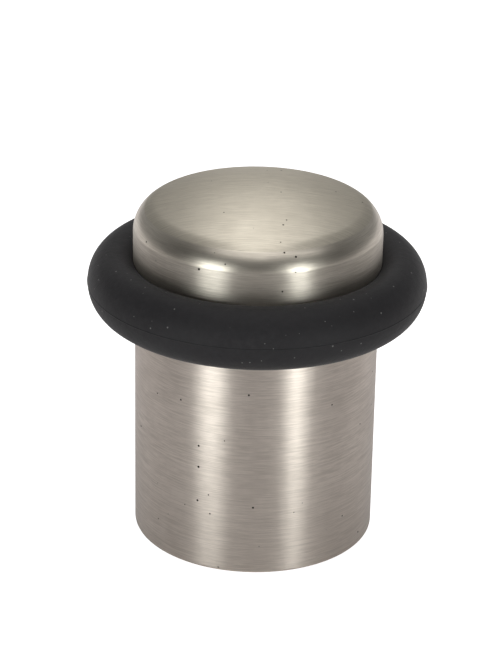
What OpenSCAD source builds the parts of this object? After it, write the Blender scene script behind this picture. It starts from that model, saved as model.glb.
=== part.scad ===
// Cylinder door stop that screws to the floor, with a hidden fixing screw.
// A cast body stands on the floor, a domed cap screws into its top, and a rubber
// ring fills the groove between them. The fixing screw and its captive washer
// stand in the body's bore, ready to be driven once the cap is off.
// Units are millimetres, +Z is up, and the origin is the centre of the base.

/* [Body] */
// Diameter of the body
body_d = 40; // [38:0.5:40.5]
// Height of the body, from the floor to its top face
body_h = 40.3; // [38:0.1:42]
// Radius of the body's lower outer edge
base_edge_r = 0.6; // [0.3:0.1:1]
// Thickness of the cast outer wall
wall_t = 2.8; // [2:0.1:3.5]
// Thickness of the top deck, which holds the cap's thread
deck_t = 8; // [8:0.5:10]
// Diameter of the central boss
boss_d = 19; // [18:0.5:20]
// Diameter of the clearance hole for the fixing screw
screw_hole_d = 5.5; // [5.3:0.1:6]
// Height of the flat seat that the screw's washer is pulled down to
seat_z = 6.6; // [4:0.1:8]

/* [Cap] */
// Diameter of the domed cap
cap_d = 40.6; // [39:0.1:42]
// Height of the cap's straight side wall
cap_wall_h = 5.15; // [4:0.05:7]
// Radius of the shoulder between side wall and dome
shoulder_r = 4.9; // [3:0.1:6]
// Radius of the dome's sphere
dome_r = 65; // [50:1:90]
// Nominal diameter of the cap's thread
thread_d = 16; // [15.5:0.5:16.5]
// Length of the threaded spigot
spigot_l = 7.5; // [6:0.1:7.5]

/* [Rubber ring] */
// Outside diameter of the rubber ring
ring_d = 55.6; // [52:0.1:60]
// Height of the ring's section
ring_h = 10.2; // [9:0.1:11]
// Half the width of the ring's section outside the groove
ring_half_w = 4.4; // [4:0.1:5]
// Height of the groove between body and cap
groove_h = 7; // [6.5:0.1:7.5]
// Diameter of the cap's neck, at the bottom of the groove
neck_d = 34.4; // [33:0.1:35]

/* [Fixing screw] */
// Length of the screw under its head
screw_l = 40; // [38:0.5:40.5]
// Diameter over the screw's thread
screw_d = 5; // [4.5:0.1:5]
// Diameter of the screw's pan head
head_d = 9.5; // [9:0.1:10]
// Height of the head
head_h = 3; // [2.5:0.1:3.2]
// Outside diameter of the captive washer
washer_d = 10; // [9.5:0.1:10.4]
// Thickness of the captive washer
washer_t = 1; // [0.8:0.1:1.2]

/* [Hidden] */
$fn = 128;

edge_r = 0.3;                           // small broken edges beside the groove
arc_steps = 8;                          // segments in a small rounded edge
shoulder_steps = 16;
dome_steps = 24;
run_gap = 0.08;                         // radial gap of a thread or a running fit
touch_gap = 0.05;                       // gap between faces that turn on each other
cut_over = 1;                           // how far a cutter runs past what it cuts

groove_top = body_h + groove_h;
ring_z = body_h + groove_h / 2;

// The body's underside is an annular pocket between the outer wall and the boss
pocket_r = body_d / 2 - wall_t;
pocket_top = body_h - deck_t;
pocket_fillet = 2;
bore_r = 6;                             // room for the washer and the driver
mouth_chamfer = 0.7;                    // lead-in at the mouth of the cap's thread

// The cap's spigot, and the annular core that thins its casting
spigot_r = thread_d / 2 - run_gap;
spigot_bottom = body_h - spigot_l;
spigot_chamfer = 0.8;
relief_r = thread_d / 2 - 1.2;
relief_h = 1;
cap_bottom = body_h + touch_gap;
cap_bore_r = 5.6;
cap_bore_top = 46.5;
core_in_r = 9.6;
core_out_r = 14.8;
core_top = 52.5;
core_fillet = 1.5;

cap_r = cap_d / 2;
shoulder_z = groove_top + cap_wall_h;   // where the straight side wall ends
shoulder_x = cap_r - shoulder_r;
dome_z = shoulder_z - sqrt(pow(dome_r - shoulder_r, 2) - pow(shoulder_x, 2));
dome_start = atan2(shoulder_z - dome_z, shoulder_x);

// The ring's foot sits in the groove, and the rest bulges out past the metal
foot_z = groove_h / 2 - run_gap;
foot_in = neck_d / 2 + run_gap;
bulge_in = cap_r + run_gap;
bulge_x = ring_d / 2 - ring_half_w;
bulge_limit = acos((bulge_in - bulge_x) / ring_half_w);
bulge_steps = 40;

point_gap = 0.2;                        // the screw's point stands this far off the floor
point_l = 5;
plain_r = 2.2;                          // plain shank, thinner than the thread
plain_l = 6;
head_z = screw_l + point_gap;           // underside of the head
head_r = head_d / 2;
head_round = 1.6;
recess_l = 5;                           // the cross recess: arm length, width and depth
recess_w = 1.1;
recess_depth = 1.9;
washer_top = head_z - touch_gap;

// Points of an arc about [x, y], from angle a to angle b
function arc(x, y, r, a, b, n = arc_steps) =
    [for (i = [0:n]) let (t = a + (b - a) * i / n) [x + r * cos(t), y + r * sin(t)]];

module body_section() {
    polygon(concat(
        [
            [screw_hole_d / 2, 0],
            [boss_d / 2, 0]
        ],
        arc(boss_d / 2 + pocket_fillet, pocket_top - pocket_fillet, pocket_fillet, 180, 90),
        arc(pocket_r - pocket_fillet, pocket_top - pocket_fillet, pocket_fillet, 90, 0),
        [[pocket_r, 0]],
        arc(body_d / 2 - base_edge_r, base_edge_r, base_edge_r, -90, 0),
        arc(body_d / 2 - edge_r, body_h - edge_r, edge_r, 0, 90),
        [
            [thread_d / 2 + mouth_chamfer, body_h],
            [thread_d / 2, body_h - mouth_chamfer],
            [thread_d / 2, pocket_top],
            [bore_r, pocket_top],
            [bore_r, seat_z],
            [screw_hole_d / 2, seat_z]
        ]
    ));
}

module cap_section() {
    polygon(concat(
        [
            [cap_bore_r, spigot_bottom],
            [spigot_r - spigot_chamfer, spigot_bottom],
            [spigot_r, spigot_bottom + spigot_chamfer],
            [spigot_r, body_h - relief_h],
            [relief_r, body_h - relief_h],
            [relief_r, cap_bottom],
            [core_in_r, cap_bottom]
        ],
        arc(core_in_r + core_fillet, core_top - core_fillet, core_fillet, 180, 90),
        arc(core_out_r - core_fillet, core_top - core_fillet, core_fillet, 90, 0),
        [
            [core_out_r, cap_bottom],
            [neck_d / 2, cap_bottom],
            [neck_d / 2, groove_top]
        ],
        arc(cap_r - edge_r, groove_top + edge_r, edge_r, -90, 0),
        arc(shoulder_x, shoulder_z, shoulder_r, 0, dome_start, shoulder_steps),
        arc(0, dome_z, dome_r, dome_start, 90, dome_steps),
        [
            [0, cap_bore_top],
            [cap_bore_r, cap_bore_top]
        ]
    ));
}

module ring_section() {
    polygon(concat(
        [
            [foot_in, ring_z - foot_z],
            [bulge_in, ring_z - foot_z]
        ],
        [for (i = [0:bulge_steps]) let (t = (2 * i / bulge_steps - 1) * bulge_limit)
            [bulge_x + ring_half_w * cos(t), ring_z + ring_h / 2 * sin(t)]],
        [
            [bulge_in, ring_z + foot_z],
            [foot_in, ring_z + foot_z]
        ]
    ));
}

module screw_section() {
    polygon(concat(
        [
            [0, point_gap],
            [screw_d / 2, point_gap + point_l],
            [screw_d / 2, head_z - plain_l],
            [plain_r, head_z - plain_l],
            [plain_r, head_z],
            [head_r, head_z]
        ],
        arc(head_r - head_round, head_z + head_h - head_round, head_round, 0, 90),
        [[0, head_z + head_h]]
    ));
}

module body() {
    color("#a9a299")
        rotate_extrude() body_section();
}

module cap() {
    color("#b8b1a4")
        rotate_extrude() cap_section();
}

module rubber_ring() {
    color("#29292b")
        rotate_extrude() ring_section();
}

module screw_washer() {
    color("#9fa3a6")
        translate([0, 0, washer_top - washer_t])
            difference() {
                cylinder(d = washer_d, h = washer_t);
                translate([0, 0, -cut_over])
                    cylinder(r = plain_r + run_gap, h = washer_t + 2 * cut_over);
            }
}

module fixing_screw() {
    color("#c2c5c8")
        difference() {
            rotate_extrude() screw_section();
            for (a = [0, 90])
                rotate([0, 0, a])
                    translate([-recess_l / 2, -recess_w / 2, head_z + head_h - recess_depth])
                        cube([recess_l, recess_w, recess_depth + cut_over]);
        }
}

body();
cap();
rubber_ring();
screw_washer();
fixing_screw();
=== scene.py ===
"""A floor door stop in satin nickel with a black rubber ring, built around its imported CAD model.

Everything is in metres in the model's own frame: +Z up, origin at the centre of the base.
"""
import math

import bmesh
import bpy
from mathutils import Matrix, Vector


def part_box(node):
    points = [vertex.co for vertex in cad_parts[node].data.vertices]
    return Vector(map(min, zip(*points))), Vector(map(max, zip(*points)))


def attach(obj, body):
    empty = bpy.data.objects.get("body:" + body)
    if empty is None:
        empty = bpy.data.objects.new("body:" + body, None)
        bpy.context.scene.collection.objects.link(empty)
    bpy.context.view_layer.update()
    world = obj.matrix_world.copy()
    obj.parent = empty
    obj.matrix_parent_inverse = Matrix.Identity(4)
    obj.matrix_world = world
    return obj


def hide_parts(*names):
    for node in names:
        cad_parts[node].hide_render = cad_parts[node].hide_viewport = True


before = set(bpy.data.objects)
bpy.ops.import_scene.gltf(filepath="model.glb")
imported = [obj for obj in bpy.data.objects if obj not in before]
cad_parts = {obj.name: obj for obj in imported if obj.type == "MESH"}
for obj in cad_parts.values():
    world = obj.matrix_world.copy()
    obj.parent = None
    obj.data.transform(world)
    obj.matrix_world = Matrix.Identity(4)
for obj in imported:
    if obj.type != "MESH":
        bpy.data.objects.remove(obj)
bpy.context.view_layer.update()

MM = 0.001

# ---------------------------------------------------------------- sizes from the frame

body_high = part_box("body")[1]
cap_low, cap_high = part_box("cap")
ring_low, ring_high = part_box("rubber_ring")
washer_low, washer_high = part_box("screw_washer")
screw_low, screw_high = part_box("fixing_screw")

BODY_R = body_high[0]
BODY_TOP = body_high[2]
CAP_R = cap_high[0]
SPIGOT_BOTTOM = cap_low[2]
RING_R = ring_high[0]
RING_Z = (ring_low[2] + ring_high[2]) / 2
RING_HALF_H = (ring_high[2] - ring_low[2]) / 2
GROOVE_H = 2 * (RING_Z - BODY_TOP)
GROOVE_TOP = BODY_TOP + GROOVE_H

# ---------------------------------------------------------------- sizes of the pieces

WALL = 2.8 * MM
DECK = 8 * MM
POCKET_R = BODY_R - WALL
POCKET_TOP = BODY_TOP - DECK
BOSS_R = 9.5 * MM
HOLE_R = 2.75 * MM
SEAT_Z = 6.6 * MM
BORE_R = 6 * MM
MOUTH_CHAMFER = 0.7 * MM

THREAD_PITCH = 1.5 * MM
THREAD_STEP = THREAD_PITCH / 12         # between the mesh rings that carry the thread
THREAD_DEPTH = 0.8 * MM
THREAD_FLAT = 0.12                      # the crest's and the root's share of the pitch
THREAD_ROOT = 0.18
THREAD_CREST_R = 7.92 * MM
THREAD_PLAY = 0.08 * MM
THREAD_RUNOUT = 0.2 * MM                # plain bore under the body's thread
SPIGOT_LEAD = 0.8 * MM                  # plain end of the spigot under the cap's thread
RELIEF_R = 6.8 * MM
RELIEF_H = 1 * MM

TOUCH_GAP = 0.05 * MM
CAP_BOTTOM = BODY_TOP + TOUCH_GAP
CAP_BORE_R = 5.6 * MM
CAP_BORE_TOP = 46.5 * MM
CORE_IN_R = 9.6 * MM
CORE_OUT_R = 14.8 * MM
CORE_TOP = 52.5 * MM
NECK_R = 17.2 * MM
CAP_WALL_H = 5.15 * MM
SHOULDER_R = 4.9 * MM
DOME_R = 65 * MM
SHOULDER_STEPS = 28
DOME_STEPS = 20
WALL_GRAIN_END = 12                     # the wall's grain runs up to this angle of the shoulder, in degrees
DOME_GRAIN_END = 50                     # the dome's straight grain runs down to this one

RING_HALF_W = 4.4 * MM
RING_FOOT_GAP = 0.08 * MM
RING_FLASH = 0.06 * MM                  # height of the line left by the mould, and its spread in degrees
RING_FLASH_SPREAD = 0.9
RING_STEPS = 56

SCREW_PITCH = 2.5 * MM
SCREW_CORE_R = 1.6 * MM
SCREW_THREAD_R = 2.5 * MM
SCREW_THREAD_FLAT = 0.03
SCREW_THREAD_ROOT = 0.62
SCREW_PLAIN_R = 2.2 * MM
SCREW_POINT = 6 * MM
POINT_THREAD_LEAD = 1.4                 # how much sooner than the core the thread is full size
SCREW_PLAIN_L = 6 * MM
SCREW_HEAD_H = 3 * MM
SCREW_HEAD_R = screw_high[0]
RECESS_DEPTH = 1.9 * MM
RECESS_REACH = 2.4 * MM                 # from the axis to the end of each bar of the cross
RECESS_WIDTH = 1.1 * MM
RECESS_FLOOR_REACH = 0.35               # the floor's share of that reach
RECESS_FLOOR_WIDTH = 0.4                # half the floor's width, as a share of the width
CUT_OVER = 0.2 * MM                     # how far the cutter runs past the head
WASHER_PLAY = 0.08 * MM

ON_AXIS = 1e-9                          # a point nearer the axis than this is on it
SAME_R = 1e-7                           # two radii nearer than this are the same

# ---------------------------------------------------------------- shape tools


def arc(centre, radius, start, end, points=8):
    """Points (r, z) of an arc, from the angle start to the angle end, in degrees."""
    angles = [math.radians(start + (end - start) * i / points) for i in range(points + 1)]
    return [(centre[0] + radius * math.cos(a), centre[1] + radius * math.sin(a)) for a in angles]


def rounded(corners, points=5):
    """An outline through corners (r, z, radius), in order, each rounded to its own radius."""
    outline = []
    for i, (r, z, radius) in enumerate(corners):
        here = Vector((r, z))
        if radius == 0:
            outline.append((r, z))
            continue
        back = (Vector(corners[i - 1][:2]) - here).normalized()
        on = (Vector(corners[(i + 1) % len(corners)][:2]) - here).normalized()
        half = back.angle(on) / 2
        centre = here + (back + on).normalized() * radius / math.sin(half)
        first = here + back * radius / math.tan(half) - centre
        last = here + on * radius / math.tan(half) - centre
        start = math.degrees(math.atan2(first.y, first.x))
        turn = (math.degrees(math.atan2(last.y, last.x)) - start + 180) % 360 - 180
        outline += arc(centre, radius, start, start + turn, points)
    return outline


def levels(r, low, high, step):
    """Points up a straight wall of radius r, close enough together to carry a thread."""
    count = round(abs(high - low) / step)
    return [(r, low + (high - low) * i / count) for i in range(count + 1)]


def ease(x):
    """0 below 0, 1 above 1, and a smooth rise between."""
    x = min(1.0, max(0.0, x))
    return x * x * (3 - 2 * x)


def crest(z, angle, pitch, flat, root):
    """Height of a right-hand thread, from 0 at the root to 1 on the crest.

    flat and root are shares of the pitch.
    """
    off = abs((z / pitch - angle / math.tau) % 1 - 0.5) * 2
    return min(1.0, max(0.0, (1 - root - off) / (1 - root - flat)))


def thread_fade(z, low, high):
    """1 along the cap's thread, from low to high, and falling to 0 over its first and last turn."""
    return ease((z - low) / THREAD_PITCH) * ease((high - z) / THREAD_PITCH)


def new_object(name, data):
    """A new object in the scene."""
    made = bpy.data.objects.new(name, data)
    bpy.context.scene.collection.objects.link(made)
    return made


def revolve(name, outline, steps=192, radius_at=None, sharp=35):
    """A closed mesh: an outline of (r, z) points turned about Z. radius_at(r, z, angle) may reshape it."""
    mesh = bpy.data.meshes.new(name)
    bm = bmesh.new()
    rings = []
    for r, z in outline:
        if r < ON_AXIS:
            rings.append([bm.verts.new((0, 0, z))])
            continue
        ring = []
        for k in range(steps):
            angle = math.tau * k / steps
            here = radius_at(r, z, angle) if radius_at else r
            ring.append(bm.verts.new((here * math.cos(angle), here * math.sin(angle), z)))
        rings.append(ring)
    for one, two in zip(rings, rings[1:] + rings[:1]):
        if len(one) == len(two) == 1:
            continue
        for k in range(steps):
            n = (k + 1) % steps
            corners = [one[k % len(one)], one[n % len(one)], two[n % len(two)], two[k % len(two)]]
            bm.faces.new(list(dict.fromkeys(corners)))
    bmesh.ops.recalc_face_normals(bm, faces=bm.faces)
    bm.to_mesh(mesh)
    bm.free()
    mesh.shade_smooth()
    mesh.set_sharp_from_angle(angle=math.radians(sharp))
    return new_object(name, mesh)


def place(piece, node, body, slot, *materials):
    """The piece stands for a CAD node, moves with its body and wears the materials."""
    piece.data.materials.clear()
    for material in materials:
        piece.data.materials.append(material)
    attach(piece, body)
    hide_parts(node)


# ---------------------------------------------------------------- material tools


def new_material(name):
    """A new node material, with its tree and its Principled shader."""
    material = bpy.data.materials.new(name)
    material.use_nodes = True
    return material, material.node_tree, material.node_tree.nodes["Principled BSDF"]


def node(tree, kind, inputs=None, **settings):
    """Adds a shader node. An input that is a socket is linked, and any other is set."""
    made = tree.nodes.new("ShaderNode" + kind)
    for key, value in settings.items():
        setattr(made, key, value)
    for key, value in (inputs or {}).items():
        if isinstance(value, bpy.types.NodeSocket):
            tree.links.new(value, made.inputs[key])
        else:
            made.inputs[key].default_value = value
    return made


def sums(tree, operation, *values):
    """The value of a Math node."""
    return node(tree, "Math", dict(enumerate(values)), operation=operation).outputs["Value"]


def noise(tree, where, detail, rough, distortion=0.0):
    """The value of a noise texture at a place that already has its scale."""
    inputs = {"Vector": where, "Scale": 1.0, "Detail": detail, "Roughness": rough, "Distortion": distortion}
    return node(tree, "TexNoise", inputs).outputs["Fac"]


def scaled(tree, where, scale):
    """A place times a scale."""
    return node(tree, "VectorMath", {0: where, "Scale": scale}, operation="SCALE").outputs["Vector"]


def remap(tree, value, low, high, to_low=0.0, to_high=1.0, smooth=False):
    """The value stretched from low..high to to_low..to_high, and held inside it."""
    inputs = {"Value": value, "From Min": low, "From Max": high, "To Min": to_low, "To Max": to_high}
    kind = "SMOOTHSTEP" if smooth else "LINEAR"
    return node(tree, "MapRange", inputs, interpolation_type=kind).outputs["Result"]


COLOUR_A, COLOUR_B, COLOUR_RESULT = 6, 7, 2     # the sockets of a Mix node that mixes colours


def blend_colour(tree, share, one, two):
    """A colour between one and two."""
    mixer = node(tree, "Mix", {"Factor": share}, data_type="RGBA")
    for index, colour in ((COLOUR_A, one), (COLOUR_B, two)):
        if isinstance(colour, bpy.types.NodeSocket):
            tree.links.new(colour, mixer.inputs[index])
        else:
            mixer.inputs[index].default_value = (*colour, 1)
    return mixer.outputs[COLOUR_RESULT]


def object_place(tree):
    """Object coordinates, in metres."""
    return node(tree, "TexCoord").outputs["Object"]


def straight_place(tree, along, across):
    """A place that changes slowly along X and fast from one straight line to the next."""
    inputs = {0: object_place(tree), 1: (along, across, 0)}
    return node(tree, "VectorMath", inputs, operation="MULTIPLY").outputs["Vector"]


def turned_place(tree, around, across):
    """A place that changes slowly round the axis and fast from one turned line to the next."""
    xyz = node(tree, "SeparateXYZ", {0: object_place(tree)})
    flat = node(tree, "CombineXYZ", {"X": xyz.outputs["X"], "Y": xyz.outputs["Y"]}).outputs["Vector"]
    radius = node(tree, "VectorMath", {0: flat}, operation="LENGTH").outputs["Value"]
    line = sums(tree, "SUBTRACT", xyz.outputs["Z"], radius)
    parts = {
        "X": sums(tree, "MULTIPLY", xyz.outputs["X"], around),
        "Y": sums(tree, "MULTIPLY", xyz.outputs["Y"], around),
        "Z": sums(tree, "MULTIPLY", line, across),
    }
    return node(tree, "CombineXYZ", parts).outputs["Vector"]


SPECK_CORE = 0.55                       # a speck is at full strength out to this share of its radius


def specks(tree, per_metre, share, small, large):
    """1 in scattered round specks and 0 elsewhere.

    share of the cells hold one, with a radius from small to large as a share of the cell.
    """
    cells = node(tree, "TexVoronoi", {"Vector": object_place(tree), "Scale": per_metre, "Randomness": 1.0})
    pick = node(tree, "SeparateColor", {0: cells.outputs["Color"]})
    chosen = sums(tree, "GREATER_THAN", pick.outputs["Red"], 1 - share)
    size = remap(tree, pick.outputs["Green"], 0, 1, small, large)
    inside = sums(tree, "DIVIDE", cells.outputs["Distance"], size)
    return sums(tree, "MULTIPLY", chosen, remap(tree, inside, 1.0, SPECK_CORE, smooth=True))


# ---------------------------------------------------------------- materials

# Scales of noise and specks are counts per metre. For a grain they are along the strokes, then across.

GRAIN_DEPTH = 0.006 * MM
PIT_COLOUR = (0.035, 0.028, 0.022)
QUARTER_TURN = 0.25                     # turns the smear of a reflection to lie across the grain


def satin_nickel(name, light, dark, rough, spread, grain_place, tangent_axis):
    """Satin nickel plate over a casting: brushed strokes, faint soiling, small pits and the odd scratch.

    grain_place gives the strokes their direction, and spread says how far they smear a reflection
    across them.
    """
    material, tree, shader = new_material(name)
    hairs = noise(tree, grain_place(tree, 300, 7500), 3, 0.7)
    strokes = noise(tree, grain_place(tree, 150, 4000), 4, 0.7)
    bands = noise(tree, grain_place(tree, 45, 900), 2, 0.5)
    scratch_field = noise(tree, grain_place(tree, 150, 1500), 1, 0.5)
    cloud = noise(tree, scaled(tree, object_place(tree), 85), 3, 0.55)
    fine = sums(tree, "ADD", sums(tree, "MULTIPLY", hairs, 0.50), sums(tree, "MULTIPLY", strokes, 0.40))
    grain = sums(tree, "ADD", fine, sums(tree, "MULTIPLY", bands, 0.10))
    scratches = remap(tree, scratch_field, 0.74, 0.80, smooth=True)
    pits = specks(tree, 450, 0.55, 0.04, 0.115)
    tone = blend_colour(tree, remap(tree, grain, 0.43, 0.57), dark, light)
    soiled = blend_colour(tree, remap(tree, cloud, 0.45, 0.75, 0, 0.4), tone, dark)
    scratched = blend_colour(tree, sums(tree, "MULTIPLY", scratches, 0.35), soiled, light)
    pitted = blend_colour(tree, pits, scratched, PIT_COLOUR)
    tree.links.new(pitted, shader.inputs["Base Color"])
    patchy = remap(tree, cloud, 0.3, 0.7, rough - 0.02, rough + 0.02)
    streaky = sums(tree, "ADD", patchy, remap(tree, grain, 0.36, 0.64, 0.035, -0.035))
    dulled = sums(tree, "ADD", streaky, sums(tree, "MULTIPLY", pits, 0.4))
    tree.links.new(dulled, shader.inputs["Roughness"])
    cut = sums(tree, "ADD", sums(tree, "MULTIPLY", pits, 8.0), sums(tree, "MULTIPLY", scratches, 0.5))
    bump = node(tree, "Bump", {"Height": sums(tree, "SUBTRACT", fine, cut), "Distance": GRAIN_DEPTH})
    tree.links.new(bump.outputs["Normal"], shader.inputs["Normal"])
    grain_way = node(tree, "Tangent", direction_type="RADIAL", axis=tangent_axis)
    tree.links.new(grain_way.outputs["Tangent"], shader.inputs["Tangent"])
    shader.inputs["Metallic"].default_value = 1.0
    shader.inputs["Anisotropic"].default_value = spread
    shader.inputs["Anisotropic Rotation"].default_value = QUARTER_TURN
    return material


RUBBER_PLAIN = (0.0145, 0.0135, 0.0155)
RUBBER_RUBBED = (0.027, 0.0255, 0.028)
RUBBER_DARK = (0.0115, 0.0105, 0.0125)
RUBBER_LINE = (0.003, 0.003, 0.0035)
DUST_COLOUR = (0.20, 0.195, 0.19)


def matt_rubber(name):
    """Black moulded rubber: a fine skin, paler rubbed patches, a dark parting line and a little dust."""
    material, tree, shader = new_material(name)
    where = object_place(tree)
    skin = noise(tree, scaled(tree, where, 5200), 3, 0.6)
    lumps = noise(tree, scaled(tree, where, 900), 4, 0.65)
    patches = noise(tree, scaled(tree, where, 75), 4, 0.62, 0.6)
    height = node(tree, "SeparateXYZ", {0: where}).outputs["Z"]
    off_line = sums(tree, "ABSOLUTE", sums(tree, "SUBTRACT", height, RING_Z))
    line = remap(tree, off_line, 0.16 * MM, 0.05 * MM, smooth=True)
    dust = specks(tree, 640, 0.85, 0.045, 0.13)
    worn = blend_colour(tree, remap(tree, patches, 0.42, 0.75), RUBBER_PLAIN, RUBBER_RUBBED)
    mottled = blend_colour(tree, remap(tree, lumps, 0.35, 0.65, 0, 0.8), worn, RUBBER_DARK)
    lined = blend_colour(tree, sums(tree, "MULTIPLY", line, 0.45), mottled, RUBBER_LINE)
    dusty = blend_colour(tree, sums(tree, "MULTIPLY", dust, 0.75), lined, DUST_COLOUR)
    tree.links.new(dusty, shader.inputs["Base Color"])
    tree.links.new(remap(tree, patches, 0.3, 0.75, 0.60, 0.72), shader.inputs["Roughness"])
    relief = sums(tree, "ADD", sums(tree, "MULTIPLY", skin, 0.35), sums(tree, "MULTIPLY", lumps, 1.0))
    bump = node(tree, "Bump", {"Height": relief, "Strength": 1.0, "Distance": 0.05 * MM})
    tree.links.new(bump.outputs["Normal"], shader.inputs["Normal"])
    shader.inputs["Specular IOR Level"].default_value = 0.38
    shader.inputs["Sheen Weight"].default_value = 0.12
    shader.inputs["Sheen Roughness"].default_value = 0.4
    return material


def zinc_steel(name):
    """Bright zinc-plated steel, with a faint cloudiness and a fine drawn grain."""
    material, tree, shader = new_material(name)
    grain = noise(tree, turned_place(tree, 300, 3200), 3, 0.6)
    cloud = noise(tree, scaled(tree, object_place(tree), 500), 3, 0.6)
    tone = blend_colour(tree, remap(tree, cloud, 0.3, 0.7), (0.50, 0.52, 0.55), (0.74, 0.75, 0.76))
    tree.links.new(tone, shader.inputs["Base Color"])
    tree.links.new(remap(tree, grain, 0.3, 0.7, 0.22, 0.38), shader.inputs["Roughness"])
    bump = node(tree, "Bump", {"Height": grain, "Strength": 0.6, "Distance": 0.01 * MM})
    tree.links.new(bump.outputs["Normal"], shader.inputs["Normal"])
    shader.inputs["Metallic"].default_value = 1.0
    return material


# ---------------------------------------------------------------- pieces


def make_body(material):
    """The cast cylinder: outer wall, underside pocket, central boss, screw seat and the cap's thread."""
    thread_low, thread_high = POCKET_TOP + THREAD_RUNOUT, BODY_TOP - MOUTH_CHAMFER
    bore_r = THREAD_CREST_R + THREAD_PLAY
    outline = rounded([
        (HOLE_R, 0, 0.3 * MM),
        (BOSS_R, 0, 0.5 * MM),
        (BOSS_R, POCKET_TOP, 2 * MM),
        (POCKET_R, POCKET_TOP, 2 * MM),
        (POCKET_R, 0, 0.3 * MM),
        (BODY_R, 0, 0.6 * MM),
        (BODY_R, BODY_TOP, 0.3 * MM),
        (bore_r + MOUTH_CHAMFER, BODY_TOP, 0.1 * MM),
    ])
    outline += levels(bore_r, thread_high, thread_low, THREAD_STEP)
    outline += [(bore_r, POCKET_TOP)]
    outline += rounded([
        (BORE_R, POCKET_TOP, 0),
        (BORE_R, SEAT_Z, 0),
        (HOLE_R, SEAT_Z, 0),
    ])

    def radius_at(r, z, angle):
        if abs(r - bore_r) > SAME_R or not thread_low <= z <= thread_high:
            return r
        height = 1 - crest(z, angle, THREAD_PITCH, THREAD_FLAT, THREAD_ROOT)
        return r - THREAD_DEPTH * thread_fade(z, thread_low, thread_high) * height

    place(revolve("body_casting", outline, radius_at=radius_at), "body", "base", "body_metal", material)


def make_cap(wall_material, edge_material, dome_material):
    """The domed cap: spigot with its thread, cored underside, neck, side wall, shoulder and dome."""
    shoulder_z = GROOVE_TOP + CAP_WALL_H
    shoulder_x = CAP_R - SHOULDER_R
    dome_z = shoulder_z - math.sqrt((DOME_R - SHOULDER_R) ** 2 - shoulder_x ** 2)
    dome_start = math.degrees(math.atan2(shoulder_z - dome_z, shoulder_x))
    thread_low, thread_high = SPIGOT_BOTTOM + SPIGOT_LEAD, BODY_TOP - RELIEF_H
    root_r = THREAD_CREST_R - THREAD_DEPTH
    outline = [
        (CAP_BORE_R, SPIGOT_BOTTOM),
        (root_r, SPIGOT_BOTTOM),
    ]
    outline += levels(root_r, thread_low, thread_high, THREAD_STEP)
    outline += rounded([
        (root_r, thread_high, 0),
        (RELIEF_R, thread_high, 0),
        (RELIEF_R, CAP_BOTTOM, 0.2 * MM),
        (CORE_IN_R, CAP_BOTTOM, 0.3 * MM),
        (CORE_IN_R, CORE_TOP, 1.5 * MM),
        (CORE_OUT_R, CORE_TOP, 1.5 * MM),
        (CORE_OUT_R, CAP_BOTTOM, 0.3 * MM),
        (NECK_R, CAP_BOTTOM, 0.3 * MM),
        (NECK_R, GROOVE_TOP, 0.2 * MM),
        (CAP_R, GROOVE_TOP, 0.35 * MM),
        (CAP_R, shoulder_z, 0),
    ])[1:-1]
    outline += arc((shoulder_x, shoulder_z), SHOULDER_R, 0, dome_start, SHOULDER_STEPS)
    outline += arc((0, dome_z), DOME_R, dome_start, 90, DOME_STEPS)[1:-1]
    outline += [(0, dome_z + DOME_R), (0, CAP_BORE_TOP), (CAP_BORE_R, CAP_BORE_TOP)]

    def radius_at(r, z, angle):
        if abs(r - root_r) > SAME_R or not thread_low <= z <= thread_high:
            return r
        height = crest(z, angle, THREAD_PITCH, THREAD_FLAT, THREAD_ROOT)
        return r + THREAD_DEPTH * thread_fade(z, thread_low, thread_high) * height

    casting = revolve("cap_casting", outline, radius_at=radius_at)
    place(casting, "cap", "cap", "cap_metal", wall_material, edge_material, dome_material)
    edge_low = shoulder_z + SHOULDER_R * math.sin(math.radians(WALL_GRAIN_END))
    dome_low = shoulder_z + SHOULDER_R * math.sin(math.radians(DOME_GRAIN_END))
    for face in casting.data.polygons:
        face.material_index = int(face.center.z > edge_low) + int(face.center.z > dome_low)


def make_ring(material):
    """The rubber ring: a foot in the groove, a round outer bead, and the fine flash left by its mould."""
    foot_z = GROOVE_H / 2 - RING_FOOT_GAP
    foot_in = NECK_R + RING_FOOT_GAP
    bulge_in = CAP_R + RING_FOOT_GAP
    middle = RING_R - RING_FLASH - RING_HALF_W
    limit = math.degrees(math.acos((bulge_in - middle) / RING_HALF_W))
    even = [limit * (2 * i / RING_STEPS - 1) for i in range(RING_STEPS + 1)]
    beside_flash = [0.25 * i for i in range(-8, 9) if i]
    outline = rounded([
        (foot_in, RING_Z + foot_z, 0.4 * MM),
        (foot_in, RING_Z - foot_z, 0.4 * MM),
        (bulge_in, RING_Z - foot_z, 0),
    ])
    for turn in sorted(even + beside_flash):
        a = math.radians(turn)
        ridge = RING_FLASH * math.exp(-(turn / RING_FLASH_SPREAD) ** 2)
        outline.append((middle + (RING_HALF_W + ridge) * math.cos(a), RING_Z + RING_HALF_H * math.sin(a)))
    outline.append((bulge_in, RING_Z + foot_z))
    place(revolve("buffer_ring", outline, steps=224), "rubber_ring", "ring_lift", "ring_rubber", material)


def make_washer(material):
    """The washer under the screw's head, with rolled edges."""
    hole_r = SCREW_PLAIN_R + WASHER_PLAY
    low, high, outer = washer_low[2], washer_high[2], washer_high[0]
    outline = rounded([
        (hole_r, low, 0.1 * MM),
        (outer, low, 0.25 * MM),
        (outer, high, 0.25 * MM),
        (hole_r, high, 0.1 * MM),
    ])
    place(revolve("captive_washer", outline, steps=96), "screw_washer", "washer", "fixing_steel", material)


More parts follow.
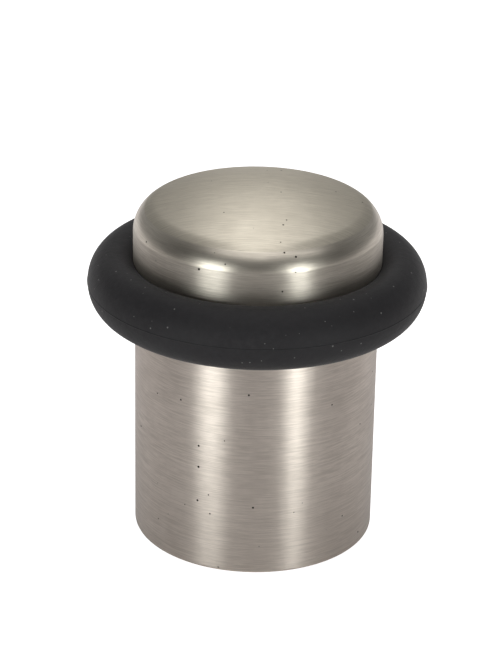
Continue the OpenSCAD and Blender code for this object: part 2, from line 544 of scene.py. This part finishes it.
def recess_cutter(turn, top):
    """A closed tapered block that cuts one bar of the screw's cross recess, turned about the axis."""
    low = (top - RECESS_DEPTH, RECESS_REACH * RECESS_FLOOR_REACH, RECESS_WIDTH * RECESS_FLOOR_WIDTH)
    high = (top + CUT_OVER, RECESS_REACH, RECESS_WIDTH / 2)
    spin = Matrix.Rotation(turn, 3, "Z")
    points = []
    for z, x, y in (low, high):
        points += [spin @ Vector(corner) for corner in ((-x, -y, z), (x, -y, z), (x, y, z), (-x, y, z))]
    faces = [(3, 2, 1, 0), (4, 5, 6, 7), (0, 1, 5, 4), (1, 2, 6, 5), (2, 3, 7, 6), (3, 0, 4, 7)]
    mesh = bpy.data.meshes.new("cutter")
    mesh.from_pydata(points, [], faces)
    return new_object("cutter", mesh)


def make_screw(material):
    """The wood screw: a sharp coarse thread, a plain neck for the washer and a cross-recessed pan head."""
    point_z, top = screw_low[2], screw_high[2]
    head_z = top - SCREW_HEAD_H
    thread_top = head_z - SCREW_PLAIN_L
    step = SCREW_PITCH / 16
    shank = [(0, point_z)] + levels(SCREW_CORE_R, point_z + step, thread_top, step)
    head = rounded([
        (SCREW_PLAIN_R, thread_top + 0.4 * MM, 0),
        (SCREW_PLAIN_R, head_z, 0.2 * MM),
        (SCREW_HEAD_R, head_z, 0.3 * MM),
        (SCREW_HEAD_R, top, 1.4 * MM),
        (0, top, 0),
    ])

    def radius_at(r, z, angle):
        if abs(r - SCREW_CORE_R) > SAME_R:
            return r
        taper = ease((z - point_z) / SCREW_POINT)
        rise = (SCREW_THREAD_R - SCREW_CORE_R) * min(1.0, POINT_THREAD_LEAD * (z - point_z) / SCREW_POINT)
        height = crest(z, angle, SCREW_PITCH, SCREW_THREAD_FLAT, SCREW_THREAD_ROOT)
        return r * taper + rise * ease((thread_top - z) / SCREW_PITCH) * height

    screw = revolve("wood_screw", shank + head, steps=64, radius_at=radius_at)
    for turn in (0, math.pi / 2):
        cutter = recess_cutter(turn, top)
        cut = screw.modifiers.new("recess", "BOOLEAN")
        cut.object = cutter
        cut.operation = "DIFFERENCE"
        graph = bpy.context.evaluated_depsgraph_get()
        shaped = bpy.data.meshes.new_from_object(screw.evaluated_get(graph))
        screw.modifiers.clear()
        screw.data = shaped
        bpy.data.objects.remove(cutter)
    place(screw, "fixing_screw", "screw", "fixing_steel", material)


# ---------------------------------------------------------------- studio

# The camera: focal length in millimetres, and angles in degrees
LENS = 139.15
DISTANCE = 421 * MM
ELEVATION = 24.27
ROLL = 1.06
LOOK_AT = Vector((-1.03 * MM, 0, 34.65 * MM))

# The ground the camera sees, and just under it the table the metal reflects, which glows with painted light
# and carries a painted shadow of the stop
TABLE_HALF = 3.0                        # metres, and also the backdrop's radius
FLOOR_Z = -0.05 * MM
TABLE_Z = -0.06 * MM
# the painted shadow of the stop on the table's glow runs from TABLE_SHADE_R out to TABLE_BRIGHT_R
TABLE_SHADE_R = BODY_R
TABLE_BRIGHT_R = 130 * MM
TABLE_GLOW_NEAR = 0.155
TABLE_GLOW_FAR = 0.31
TABLE_BACK_Y = 300 * MM
TABLE_BACK_GAIN = 2.1
TABLE_GLOW_COLOUR = (1.0, 0.955, 0.965, 1)

# The sky: its strength on the camera's side and behind, and the Y of the directions where each is reached
SKY_FRONT = 0.03
SKY_BACK = 0.27
SKY_FRONT_Y = -0.35
SKY_BACK_Y = 0.75

# The lights: two low ones in front, aimed at the stop, and two overhead, in metres and degrees
SIDE_COLOUR = (0.965, 1.0, 0.985)
SIDE_AIM = Vector((0, 0, 40 * MM))
SIDE_DISTANCE = 0.5
SIDE_ELEVATION = 7
SIDE_HEIGHT = 0.20
TOP_COLOUR = (1.0, 0.985, 0.975)
TOP_Z = 0.64
UP = Vector((0, 0, 1))


def make_camera():
    """A long lens above and in front of the stop, leaning very slightly."""
    tilt = math.radians(ELEVATION)
    back = Vector((0, -math.cos(tilt), math.sin(tilt)))
    lean = Matrix.Rotation(math.radians(ROLL), 3, back)
    right = lean @ Vector((1, 0, 0))
    up = back.cross(right)
    lens = bpy.data.cameras.new("camera")
    lens.lens = LENS
    lens.sensor_width = 36
    lens.clip_start = 0.01
    camera = new_object("camera", lens)
    camera.matrix_world = Matrix((right, up, back)).transposed().to_4x4()
    camera.location = LOOK_AT + back * DISTANCE
    bpy.context.scene.camera = camera


def direction(azimuth, elevation):
    """The way from the stop to a light. Azimuth 0 is the camera's side, and 90 is to the right."""
    a, e = math.radians(azimuth), math.radians(elevation)
    return Vector((math.sin(a) * math.cos(e), -math.cos(a) * math.cos(e), math.sin(e)))


def softbox(name, where, away, width, height, power, colour):
    """A soft rectangular light at a place, which shines against the direction away."""
    lamp = bpy.data.lights.new(name, "AREA")
    lamp.shape = "RECTANGLE"
    lamp.size = width
    lamp.size_y = height
    lamp.energy = power
    lamp.color = colour
    box = new_object(name, lamp)
    box.matrix_world = away.to_track_quat("Z", "Y").to_matrix().to_4x4()
    box.location = where


def pale_floor(name):
    """A plain, nearly white studio ground that gives most of its own light, so that it stays clean."""
    material, tree, shader = new_material(name)
    shade = noise(tree, scaled(tree, object_place(tree), 3), 2, 0.5)
    tone = blend_colour(tree, remap(tree, shade, 0.3, 0.7), (0.90, 0.90, 0.90), (0.92, 0.92, 0.92))
    tree.links.new(tone, shader.inputs["Base Color"])
    shader.inputs["Roughness"].default_value = 0.9
    shader.inputs["Emission Color"].default_value = (1, 1, 1, 1)
    shader.inputs["Emission Strength"].default_value = 0.95
    return material


def table_sheen(name):
    """The table as the metal sees it: softly glossy, with a painted glow that is paler behind and a painted
    shadow that dims it close to the stop.
    """
    material, tree, shader = new_material(name)
    where = object_place(tree)
    reach = node(tree, "VectorMath", {0: where}, operation="LENGTH").outputs["Value"]
    # painted shadow: the table's glow is dimmer close to the stop, where the stop shades it
    glow = remap(tree, reach, TABLE_SHADE_R, TABLE_BRIGHT_R, TABLE_GLOW_NEAR, TABLE_GLOW_FAR, smooth=True)
    behind = node(tree, "SeparateXYZ", {0: where}).outputs["Y"]
    # painted light: the table's glow is stronger behind the stop
    painted_back_light_gain = remap(tree, behind, 0, TABLE_BACK_Y, 1, TABLE_BACK_GAIN, smooth=True)
    tree.links.new(sums(tree, "MULTIPLY", glow, painted_back_light_gain), shader.inputs["Emission Strength"])
    shader.inputs["Emission Color"].default_value = TABLE_GLOW_COLOUR
    shader.inputs["Base Color"].default_value = (0.9, 0.9, 0.9, 1)
    shader.inputs["Metallic"].default_value = 0.35
    shader.inputs["Roughness"].default_value = 0.2
    return material


def table(name, z, material):
    """A large flat square that belongs to the studio."""
    h = TABLE_HALF
    mesh = bpy.data.meshes.new(name)
    mesh.from_pydata([(-h, -h, 0), (h, -h, 0), (h, h, 0), (-h, h, 0)], [], [(0, 1, 2, 3)])
    mesh.materials.append(material)
    flat = new_object(name, mesh)
    flat.location.z = z
    return flat


def make_sky():
    """A surround that is dark on the camera's side and pale behind the stop."""
    world = bpy.data.worlds.new("studio")
    bpy.context.scene.world = world
    world.use_nodes = True
    tree = world.node_tree
    way = node(tree, "SeparateXYZ", {0: node(tree, "TexCoord").outputs["Generated"]})
    glow = remap(tree, way.outputs["Y"], SKY_FRONT_Y, SKY_BACK_Y, SKY_FRONT, SKY_BACK, smooth=True)
    tree.links.new(glow, tree.nodes["Background"].inputs["Strength"])
    tree.nodes["Background"].inputs["Color"].default_value = (1, 1, 1, 1)


def backdrop(name, radius, material):
    """A plain white ball far round the scene, for views that look past the floor's edge."""
    mesh = bpy.data.meshes.new(name)
    bm = bmesh.new()
    bmesh.ops.create_uvsphere(bm, u_segments=32, v_segments=16, radius=radius)
    bm.to_mesh(mesh)
    bm.free()
    mesh.materials.append(material)
    made = new_object(name, mesh)
    return made


def make_studio():
    """White for the camera, a dimmer table and sky for the metal, and four softboxes."""
    white = pale_floor("floor_white")
    for seen in (table("floor", FLOOR_Z, white), backdrop("backdrop", TABLE_HALF, white)):
        seen.visible_glossy = False
        seen.visible_diffuse = False
        seen.visible_shadow = False
    sheen = table("table_sheen", TABLE_Z, table_sheen("table_sheen"))
    sheen.visible_camera = False

    sides = (("left_softbox", -39, 0.19, 0.52), ("right_softbox", 37, 0.13, 0.47))
    for name, azimuth, width, power in sides:
        away = direction(azimuth, SIDE_ELEVATION)
        softbox(name, SIDE_AIM + away * SIDE_DISTANCE, away, width, SIDE_HEIGHT, power, SIDE_COLOUR)
    tops = (("top_strip", 0, 0.20, 0.26, 1.40, 1.60), ("top_panel", 0.10, -0.205, 0.90, 0.31, 0.98))
    for name, x, y, width, depth, power in tops:
        softbox(name, Vector((x, y, TOP_Z)), UP, width, depth, power, TOP_COLOUR)
    make_sky()
    bpy.context.scene.view_settings.view_transform = "Standard"


# ---------------------------------------------------------------- the scene

make_camera()
wall_nickel = satin_nickel(
    "wall_nickel", light=(0.71, 0.64, 0.575), dark=(0.57, 0.51, 0.455),
    rough=0.42, spread=0.68, grain_place=turned_place, tangent_axis="Z",
)
cap_nickel = satin_nickel(
    "cap_nickel", light=(0.72, 0.67, 0.59), dark=(0.58, 0.535, 0.465),
    rough=0.46, spread=0.82, grain_place=turned_place, tangent_axis="Z",
)
edge_nickel = satin_nickel(
    "edge_nickel", light=(0.72, 0.67, 0.58), dark=(0.58, 0.535, 0.46),
    rough=0.36, spread=0.35, grain_place=turned_place, tangent_axis="Z",
)
dome_nickel = satin_nickel(
    "dome_nickel", light=(0.72, 0.67, 0.565), dark=(0.59, 0.545, 0.455),
    rough=0.43, spread=0.45, grain_place=straight_place, tangent_axis="Y",
)
steel = zinc_steel("zinc_steel")
make_body(wall_nickel)
make_cap(cap_nickel, edge_nickel, dome_nickel)
make_ring(matt_rubber("black_rubber"))
make_washer(steel)
make_screw(steel)
make_studio()
